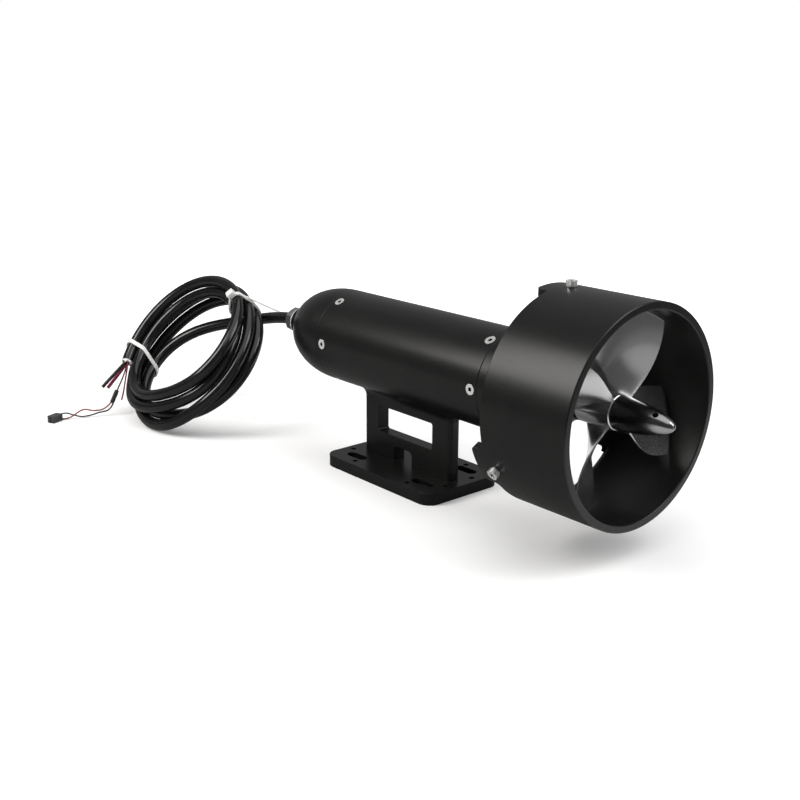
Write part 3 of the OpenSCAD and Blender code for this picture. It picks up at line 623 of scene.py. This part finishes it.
def makeFray(end, ahead):
    deselectAll()
    length = fray["length"] * mm
    bpy.ops.mesh.primitive_cylinder_add(vertices=fray["sides"], radius=fray["radius"] * mm,
                                        depth=length, end_fill_type="NOTHING", location=(0, 0, 0))
    obj = bpy.context.object
    obj.name = "cutFiller"
    subdivideAll(fray["rings"])
    swell, lobes = fray["flareWave"]
    for v in obj.data.vertices:
        a = math.atan2(v.co.y, v.co.x)
        out = v.co.z / length + 0.5
        wave = sum(size * math.sin(rate * a + start) for size, rate, start in fray["waves"])
        v.co.z += fray["ragged"] * mm * wave * out
        k = 1 + out * (fray["flare"] + swell * math.sin(lobes * a))
        v.co.x *= k
        v.co.y *= k
    thicken(obj, fray["wall"] * mm, -1)
    placeAlong(obj, end, ahead)
    smoothBelow(fray["smooth"])
    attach(obj, housing)
    return obj


cableEnd = Vector(coilPoints[-1]) * mm
frayObj = makeFray(cableEnd, coilPoints[-1] - coilPoints[-2])

# propeller blades, shaped from a grid between their leading and trailing edges
axisHeight = 93
blades = {
    "count": 4, "hubRadius": 11.5, "tipRadius": 63.5, "rootRadius": 9.5, "end": 190,
    "rootDepth": 26, "tipDepth": 17.5, "depthPower": 1.6,
    "leadAngle": -6, "tipLag": 5, "lagPower": 3,
    "rootSweep": 60, "tipSweep": 37, "sweepPower": 2.2,
    "rootThick": 4.2, "tipThick": 1.8, "edgeThick": 0.3, "bulge": 2.8, "inset": 0.15,
    "across": 28, "along": 44, "edge": {"width": 0.35, "segments": 2, "above": 40}, "smooth": 60,
}


def bladeSpan(r):
    return (r - blades["hubRadius"]) / (blades["tipRadius"] - blades["hubRadius"])


def bladeEdges(r):
    t = max(bladeSpan(r), 0)
    lead = blades["leadAngle"] + blades["tipLag"] * t ** blades["lagPower"]
    drop = blades["rootSweep"] - blades["tipSweep"] - blades["tipLag"]
    trail = blades["leadAngle"] + blades["rootSweep"] - drop * t ** blades["sweepPower"]
    less = blades["tipDepth"] - blades["rootDepth"]
    depth = blades["rootDepth"] + less * t ** blades["depthPower"]
    return lead, trail, depth


def bladePoint(r, s, side):
    lead, trail, depth = bladeEdges(r)
    around = r * math.radians(trail - lead)
    chord = math.hypot(depth, around)
    full = blades["rootThick"] + (blades["tipThick"] - blades["rootThick"]) * bladeSpan(r)
    thick = full * (blades["edgeThick"] + blades["bulge"] * s * (1 - s))
    inset = full * blades["inset"] * around / chord
    half = side * thick / 2
    x = blades["end"] - depth + inset + s * (depth - 2 * inset) - half * around / chord
    turn = math.radians(lead + s * (trail - lead)) + half * depth / chord / r
    return (x, -r * math.cos(turn), axisHeight + r * math.sin(turn))


def makeBlade():
    reach = blades["tipRadius"] - blades["rootRadius"]
    faces = []
    for side in (1, -1):
        deselectAll()
        bpy.ops.mesh.primitive_grid_add(x_subdivisions=blades["across"],
                                        y_subdivisions=blades["along"], size=1, location=(0, 0, 0))
        g = bpy.context.object
        for v in g.data.vertices:
            s = 0.5 - 0.5 * math.cos(math.pi * (v.co.x + 0.5))
            r = blades["rootRadius"] + reach * (v.co.y + 0.5)
            v.co = [c * mm for c in bladePoint(r, s, side)]
        faces.append(g)
    pick(*faces)
    bpy.ops.object.join()
    blade = bpy.context.object
    bpy.ops.object.mode_set(mode="EDIT")
    bpy.ops.mesh.select_all(action="DESELECT")
    bpy.ops.mesh.select_non_manifold(extend=False, use_wire=False, use_boundary=True,
                                     use_multi_face=False, use_non_contiguous=False,
                                     use_verts=False)
    bpy.ops.mesh.bridge_edge_loops()
    faceOutward()
    roundEdges(blade, blades["edge"])
    smoothBelow(blades["smooth"])
    return blade


hub = {
    "from": 163, "to": 190, "radius": 11.5, "sides": 96,
    "edge": {"width": 0.9, "segments": 3, "above": 50}, "smooth": 50,
}


def makeHub():
    deselectAll()
    length = (hub["to"] - hub["from"]) * mm
    bpy.ops.mesh.primitive_cylinder_add(vertices=hub["sides"], radius=hub["radius"] * mm,
                                        depth=length, location=(0, 0, 0),
                                        rotation=(0, math.pi / 2, 0))
    obj = bpy.context.object
    bpy.ops.object.transform_apply(location=True, rotation=True, scale=True)
    middle = (hub["from"] + hub["to"]) / 2 * mm
    obj.data.transform(Matrix.Translation((middle, 0, axisHeight * mm)))
    roundEdges(obj, hub["edge"])
    smoothBelow(hub["smooth"])
    return obj


def makePropeller():
    first = makeBlade()
    parts = [first]
    for k in range(1, blades["count"]):
        b = first.copy()
        b.data = first.data.copy()
        bpy.context.scene.collection.objects.link(b)
        up = Vector((0, 0, axisHeight * mm))
        turn = Matrix.Rotation(2 * math.pi * k / blades["count"], 4, "X")
        b.data.transform(Matrix.Translation(up) @ turn @ Matrix.Translation(-up))
        parts.append(b)
    body = makeHub()
    pick(body, *parts)
    bpy.ops.object.join()
    body.name = "propellerCasting"
    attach(body, rotor)
    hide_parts("propeller")
    return body


propellerObj = makePropeller()
print("propeller made")

# cone nut, a cylinder drawn out to a bullet nose, with its cross hole
cone = {
    "base": 190, "length": 39.5, "radius": 10.75, "blunt": 1.7, "rings": 48, "sides": 96,
    "weld": 0.001, "smooth": 35,
    "holeAt": 218.05, "holeRadius": 1.8, "holeTurn": 32, "holeSides": 40, "holeDepth": 50,
}


def makeCone():
    deselectAll()
    bpy.ops.mesh.primitive_cylinder_add(vertices=cone["sides"], radius=1, depth=1,
                                        location=(0, 0, 0.5), end_fill_type="TRIFAN")
    obj = bpy.context.object
    obj.name = "coneNut"
    bpy.ops.object.transform_apply(location=True, rotation=True, scale=True)
    bpy.ops.object.mode_set(mode="EDIT")
    for k in range(1, cone["rings"]):
        height = math.sin(math.pi / 2 * k / cone["rings"])
        bpy.ops.mesh.select_all(action="SELECT")
        bpy.ops.mesh.bisect(plane_co=(0, 0, height), plane_no=(0, 0, 1))
    bpy.ops.object.mode_set(mode="OBJECT")
    for v in obj.data.vertices:
        t = min(max(v.co.z, 0), 1)
        r = cone["radius"] * math.sqrt(1 - t ** cone["blunt"]) * math.hypot(v.co.x, v.co.y)
        a = math.atan2(v.co.y, v.co.x)
        v.co = (t * cone["length"] * mm, r * math.cos(a) * mm, r * math.sin(a) * mm)
    editAll()
    bpy.ops.mesh.remove_doubles(threshold=cone["weld"] * mm)
    faceOutward()
    obj.data.transform(Matrix.Translation((cone["base"] * mm, 0, axisHeight * mm)))
    deselectAll()
    bpy.ops.mesh.primitive_cylinder_add(vertices=cone["holeSides"], radius=cone["holeRadius"] * mm,
                                        depth=cone["holeDepth"] * mm, location=(0, 0, 0))
    drill = bpy.context.object
    turn = Matrix.Rotation(math.radians(cone["holeTurn"]), 4, "X")
    drill.data.transform(Matrix.Translation((cone["holeAt"] * mm, 0, axisHeight * mm)) @ turn)
    cutAway(obj, drill)
    smoothBelow(cone["smooth"])
    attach(obj, rotor)
    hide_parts("cone_nut")
    return obj


coneObj = makeCone()
print("cone nut made")

# materials
surface = {
    "noiseRough": 0.55, "noiseSpan": (0.3, 0.7), "cloudDetail": 4, "grainDetail": 3,
    "metalCloud": 35, "metalBump": 0.25, "polymerCloud": 60, "polymerBump": 0.2,
    "edgeSamples": 6, "coatRough": 0.12, "throughReach": (0.002, 0.002, 0.0018),
    # tone and span of the painted shade that darkens recesses
    "recessShadeTone": (0.02, 0.02, 0.02, 1), "recessShadeSpan": (0.45, 0.9),
}


def newMaterial(name):
    mat = bpy.data.materials.new(name)
    mat.use_nodes = True
    nodes = mat.node_tree.nodes
    return mat, nodes, mat.node_tree.links, nodes["Principled BSDF"]


def objectCoords(nodes):
    return nodes.new("ShaderNodeTexCoord").outputs["Object"]


def noise(nodes, links, vector, scale, detail):
    n = nodes.new("ShaderNodeTexNoise")
    n.inputs["Scale"].default_value = scale
    n.inputs["Detail"].default_value = detail
    n.inputs["Roughness"].default_value = surface["noiseRough"]
    links.new(vector, n.inputs["Vector"])
    return n.outputs["Fac"]


def ramp(nodes, links, fac, ends, tones):
    r = nodes.new("ShaderNodeValToRGB")
    for e, at, tone in zip(r.color_ramp.elements, ends, tones):
        e.position = at
        e.color = (*tone, 1)
    links.new(fac, r.inputs["Fac"])
    return r.outputs["Color"]


def mapRange(nodes, links, value, ends, results, smooth=False):
    m = nodes.new("ShaderNodeMapRange")
    if smooth:
        m.interpolation_type = "SMOOTHSTEP"
    m.inputs["From Min"].default_value, m.inputs["From Max"].default_value = ends
    m.inputs["To Min"].default_value, m.inputs["To Max"].default_value = results
    links.new(value, m.inputs["Value"])
    return m.outputs["Result"]


def combine(nodes, links, kind, first, second):
    m = nodes.new("ShaderNodeMath")
    m.operation = kind
    links.new(first, m.inputs[0])
    links.new(second, m.inputs[1])
    return m.outputs["Value"]


def grainBump(nodes, links, bsdf, fac, depth, strength, edge=0):
    b = nodes.new("ShaderNodeBump")
    b.inputs["Distance"].default_value = depth
    b.inputs["Strength"].default_value = strength
    links.new(fac, b.inputs["Height"])
    if edge:
        soft = nodes.new("ShaderNodeBevel")
        soft.samples = surface["edgeSamples"]
        soft.inputs["Radius"].default_value = edge
        links.new(soft.outputs["Normal"], b.inputs["Normal"])
    links.new(b.outputs["Normal"], bsdf.inputs["Normal"])


# painted shade: the base colour goes towards a near-black tone where ambient occlusion finds
# recesses, such as screw sockets and where a head meets the surface
def paintRecessShade(nodes, links, colour, reach):
    hollow = nodes.new("ShaderNodeAmbientOcclusion")
    hollow.inputs["Distance"].default_value = reach
    dark = nodes.new("ShaderNodeMix")
    dark.data_type = "RGBA"
    dark.inputs["A"].default_value = surface["recessShadeTone"]
    clear = mapRange(nodes, links, hollow.outputs["AO"], surface["recessShadeSpan"], (0, 1))
    links.new(clear, dark.inputs["Factor"])
    links.new(colour, dark.inputs["B"])
    return dark.outputs["Result"]


def clouded(name, tones, rough, grain, cloud, recessShade=0.0):
    # colour in soft clouds, with painted shade darkening the recesses where asked, and roughness
    # in a fine grain
    mat, nodes, links, bsdf = newMaterial(name)
    vector = objectCoords(nodes)
    broad = noise(nodes, links, vector, cloud, surface["cloudDetail"])
    fine = noise(nodes, links, vector, grain, surface["grainDetail"])
    colour = ramp(nodes, links, broad, surface["noiseSpan"], tones)
    if recessShade:
        colour = paintRecessShade(nodes, links, colour, recessShade)
    shine = mapRange(nodes, links, fine, surface["noiseSpan"], rough)
    links.new(colour, bsdf.inputs["Base Color"])
    links.new(shine, bsdf.inputs["Roughness"])
    return mat, nodes, links, bsdf, fine


def metal(name, tones, rough, grain, metallic=1.0, edge=0.0, specular=0.5, depth=0.00002,
          recessShade=0.0):
    cloud = surface["metalCloud"]
    mat, nodes, links, bsdf, fine = clouded(name, tones, rough, grain, cloud, recessShade)
    bsdf.inputs["Metallic"].default_value = metallic
    bsdf.inputs["Specular IOR Level"].default_value = specular
    if depth:
        grainBump(nodes, links, bsdf, fine, depth, surface["metalBump"], edge)
    return mat


def polymer(name, tones, rough, grain, coat=0.0, specular=0.5, depth=0.00003, through=0.0):
    cloud = surface["polymerCloud"]
    mat, nodes, links, bsdf, fine = clouded(name, tones, rough, grain, cloud)
    bsdf.inputs["Specular IOR Level"].default_value = specular
    bsdf.inputs["Coat Weight"].default_value = coat
    bsdf.inputs["Coat Roughness"].default_value = surface["coatRough"]
    if through:
        bsdf.inputs["Subsurface Weight"].default_value = through
        bsdf.inputs["Subsurface Radius"].default_value = surface["throughReach"]
        bsdf.inputs["Subsurface Scale"].default_value = 1.0
    grainBump(nodes, links, bsdf, fine, depth, surface["polymerBump"])
    return mat


finishes = {
    "anodised_black": metal(
        "blackAnodise", ((0.0042, 0.0042, 0.0043), (0.0062, 0.0062, 0.006)), (0.27, 0.35), 1800,
        metallic=0.0, edge=0.0006, specular=0.3),
    # the screws get painted shade in their sockets and where their heads meet the surface
    "stainless": metal(
        "stainlessScrew", ((0.78, 0.775, 0.76), (0.86, 0.855, 0.84)), (0.16, 0.24), 1500,
        metallic=0.7, edge=0.0002, depth=0.000005, recessShade=0.0022),
    "bearing_steel": metal(
        "bearingSteel", ((0.62, 0.62, 0.62), (0.7, 0.7, 0.7)), (0.12, 0.2), 1200),
    "nickel_grey": metal(
        "nickelGland", ((0.34, 0.34, 0.345), (0.42, 0.42, 0.42)), (0.34, 0.42), 1400,
        metallic=0.95, edge=0.0004),
    "bright_steel": metal(
        "brightWasher", ((0.88, 0.88, 0.87), (0.95, 0.95, 0.94)), (0.14, 0.24), 900,
        metallic=0.2, edge=0.0002),
    "seal_rubber": polymer(
        "sealRubber", ((0.01, 0.01, 0.01), (0.02, 0.02, 0.02)), (0.6, 0.75), 900),
    "motor_grey": metal(
        "motorPaint", ((0.16, 0.16, 0.165), (0.22, 0.22, 0.22)), (0.4, 0.5), 900, metallic=0.4),
    "stator_iron": metal(
        "statorIron", ((0.2, 0.13, 0.07), (0.32, 0.22, 0.13)), (0.45, 0.6), 700, metallic=0.7),
    "board_green": polymer(
        "boardGreen", ((0.02, 0.11, 0.05), (0.04, 0.16, 0.08)), (0.3, 0.4), 700),
    "gunmetal": metal(
        "gunmetalBlade", ((0.52, 0.52, 0.52), (0.58, 0.58, 0.58)), (0.18, 0.2), 300,
        metallic=0.95, depth=0),
    "cone_metal": metal(
        "coneSteel", ((0.2, 0.2, 0.205), (0.26, 0.26, 0.265)), (0.16, 0.24), 1200),
    "cable_black": polymer(
        "cableJacket", ((0.0045, 0.0045, 0.0047), (0.008, 0.008, 0.0085)), (0.12, 0.19), 260,
        coat=0.2, specular=0.34, depth=0.00005),
    "tie_nylon": polymer(
        "tieNylon", ((0.6, 0.6, 0.59), (0.68, 0.68, 0.67)), (0.3, 0.42), 500, through=0.3),
    "wire_black": polymer(
        "blackInsulation", ((0.008, 0.008, 0.008), (0.014, 0.014, 0.014)), (0.28, 0.4), 900),
    "wire_red": polymer(
        "redInsulation", ((0.2, 0.012, 0.042), (0.27, 0.018, 0.058)), (0.3, 0.42), 900),
    "sleeve_black": polymer(
        "sleeveShrink", ((0.012, 0.012, 0.012), (0.022, 0.022, 0.022)), (0.45, 0.6), 900),
    "connector_black": polymer(
        "plugMoulding", ((0.028, 0.028, 0.03), (0.055, 0.055, 0.058)), (0.4, 0.55), 900),
}
brownWire = polymer(
    "brownInsulation", ((0.17, 0.042, 0.027), (0.24, 0.062, 0.04)), (0.3, 0.42), 900)


def dress(obj, mat):
    obj.data.materials.clear()
    obj.data.materials.append(mat)


slotOf = {s["node"]: s["material_slot"] for s in frame["record"]["subparts"]}
for node in frame["nodes"]:
    obj = bpy.data.objects.get(node)
    if obj is not None:
        for s in obj.material_slots:
            s.material = finishes[slotOf[node]]
for obj, slotName in [
    (cableObj, "cable_black"), (sleeveObj, "sleeve_black"), (plugObj, "connector_black"),
    (propellerObj, "gunmetal"), (coneObj, "cone_metal"),
]:
    dress(obj, finishes[slotName])
for obj in [*tieObjs.values(), frayObj]:
    dress(obj, finishes["tie_nylon"])
for name, obj in coreObjs.items():
    dress(obj, finishes[cores[name]["slot"]])
dress(coreObjs["signalWireA"], brownWire)
print("materials set")

# floor, lamps and surroundings
studio = {
    "floorSize": 30, "floorAt": (0, 0, -0.0002), "floorColour": 0.84, "floorMottle": 0.01,
    "floorNoise": 3, "lift": (0.13, 1.0), "liftRange": (0.36, 0.9), "liftCentre": (0, -0.05, 0),
    # painted reflection: the floor's colour as only the object's reflections see it, where it is
    # white, and how dim it is elsewhere
    "behind": (0.08, 0.13), "outlet": (0.17, 0.22), "front": (0.33, 0.45),
    "dim": (0.25, 0.06), "dimRange": (0.42, 0.6), "horizon": 0.3, "horizonRange": (0.8, 1.8),
    "ambient": 0.42, "room": 0.1, "sweep": 0.3, "sweepSpan": (0.2, 0.9),
    "glow": 0.34, "glowWay": (0.98, 0.05, 0.1), "glowSpan": (0.9, 0.985),
    "lamps": [
        {"name": "overhead", "at": (0.25, 0.0, 1.4), "aim": (0.25, 0, 0), "size": (1.5, 1.7),
         "power": 12, "tint": (1, 1, 1)},
        {"name": "keyBox", "at": (-0.33, -0.62, 0.62), "aim": (0.15, -0.05, 0.1),
         "size": (0.42, 0.5), "power": 5.5, "tint": (1, 0.985, 0.95)},
        {"name": "rightFill", "at": (0.9, 0.5, 1.0), "aim": (0.1, 0, 0.1), "size": (0.8, 0.8),
         "power": 9, "tint": (1, 1, 1)},
    ],
}


def makeFloor():
    deselectAll()
    bpy.ops.mesh.primitive_plane_add(size=studio["floorSize"], location=studio["floorAt"])
    floor = bpy.context.object
    floor.name = "floor"
    mat, nodes, links, bsdf = newMaterial("floorSweep")
    place = objectCoords(nodes)
    tone = noise(nodes, links, place, studio["floorNoise"], surface["cloudDetail"])
    low = studio["floorColour"]
    high = low + studio["floorMottle"]
    shade = ramp(nodes, links, tone, (0.0, 1.0), ((low, low, low), (high, high, high)))
    parts = nodes.new("ShaderNodeSeparateXYZ")
    links.new(place, parts.inputs["Vector"])

    def step(axis, ends, results):
        return mapRange(nodes, links, parts.outputs[axis], ends, results, True)

    # painted reflection: for glossy rays only, the floor's colour is white behind the object and
    # by the outlet, dim under it and in front, and brighter again towards the horizon
    path = nodes.new("ShaderNodeLightPath")
    either = combine(nodes, links, "MAXIMUM", step("Y", studio["behind"], (0, 1)),
                     step("X", studio["outlet"], (0, 1)))
    white = combine(nodes, links, "MULTIPLY", either, step("X", studio["front"], (1, 0)))
    glossy = path.outputs["Is Glossy Ray"]
    dim = combine(nodes, links, "SUBTRACT", glossy,
                  combine(nodes, links, "MULTIPLY", glossy, white))
    tint = nodes.new("ShaderNodeMix")
    tint.data_type = "RGBA"
    dark = combine(nodes, links, "ADD", step("X", studio["dimRange"], studio["dim"]),
                   step("X", studio["horizonRange"], (0, studio["horizon"])))
    links.new(dark, tint.inputs["B"])
    links.new(dim, tint.inputs["Factor"])
    links.new(shade, tint.inputs["A"])
    links.new(tint.outputs["Result"], bsdf.inputs["Base Color"])
    bsdf.inputs["Roughness"].default_value = 1
    bsdf.inputs["Specular IOR Level"].default_value = 0
    # the floor turns pure white away from the object, and keeps the shadows near it
    away = nodes.new("ShaderNodeVectorMath")
    away.operation = "DISTANCE"
    away.inputs[1].default_value = studio["liftCentre"]
    links.new(place, away.inputs[0])
    rise = mapRange(nodes, links, away.outputs["Value"], studio["liftRange"], studio["lift"], True)
    seen = combine(nodes, links, "MAXIMUM", path.outputs["Is Camera Ray"],
                   path.outputs["Is Transmission Ray"])
    bsdf.inputs["Emission Color"].default_value = (1, 1, 1, 1)
    links.new(combine(nodes, links, "MULTIPLY", seen, rise), bsdf.inputs["Emission Strength"])
    dress(floor, mat)


def makeWorld():
    world = bpy.data.worlds.new("studio")
    bpy.context.scene.world = world
    world.use_nodes = True
    nodes, links = world.node_tree.nodes, world.node_tree.links
    back = nodes["Background"]
    back.inputs["Color"].default_value = (1, 1, 1, 1)
    path = nodes.new("ShaderNodeLightPath")
    seen = combine(nodes, links, "MAXIMUM", path.outputs["Is Camera Ray"],
                   path.outputs["Is Transmission Ray"])
    coord = nodes.new("ShaderNodeTexCoord")

    def towards(way, ends, results):
        facing = nodes.new("ShaderNodeVectorMath")
        facing.operation = "DOT_PRODUCT"
        facing.inputs[1].default_value = way.normalized()
        links.new(coord.outputs["Generated"], facing.inputs[0])
        return mapRange(nodes, links, facing.outputs["Value"], ends, results, True)

    # the white sweep stands behind the object, and the rest of the room is dim
    sweep = towards(Vector((lookDir.x, lookDir.y, 0)), studio["sweepSpan"],
                    (studio["room"], studio["sweep"]))
    # a soft glow across the outlet is what the blades mirror
    glow = towards(Vector(studio["glowWay"]), studio["glowSpan"], (0, studio["glow"]))
    room = nodes.new("ShaderNodeMix")
    room.inputs["A"].default_value = studio["ambient"]
    links.new(path.outputs["Is Glossy Ray"], room.inputs["Factor"])
    links.new(combine(nodes, links, "ADD", sweep, glow), room.inputs["B"])
    light = nodes.new("ShaderNodeMix")
    light.inputs["B"].default_value = 1
    links.new(seen, light.inputs["Factor"])
    links.new(room.outputs["Result"], light.inputs["A"])
    links.new(light.outputs["Result"], back.inputs["Strength"])


def makeLamp(l):
    data = bpy.data.lights.new(l["name"], "AREA")
    data.shape = "RECTANGLE"
    data.size, data.size_y = l["size"]
    data.energy = l["power"]
    data.color = l["tint"]
    lamp = bpy.data.objects.new(l["name"], data)
    bpy.context.scene.collection.objects.link(lamp)
    lamp.location = l["at"]
    aim = Vector(l["aim"]) - Vector(l["at"])
    lamp.rotation_euler = aim.to_track_quat("-Z", "Y").to_euler()


makeFloor()
makeWorld()
for l in studio["lamps"]:
    makeLamp(l)
bpy.context.scene.view_settings.view_transform = "Standard"
print("studio set")

for obj in bpy.data.objects:
    if obj.type == "MESH":
        obj.data.update()
bpy.context.view_layer.update()
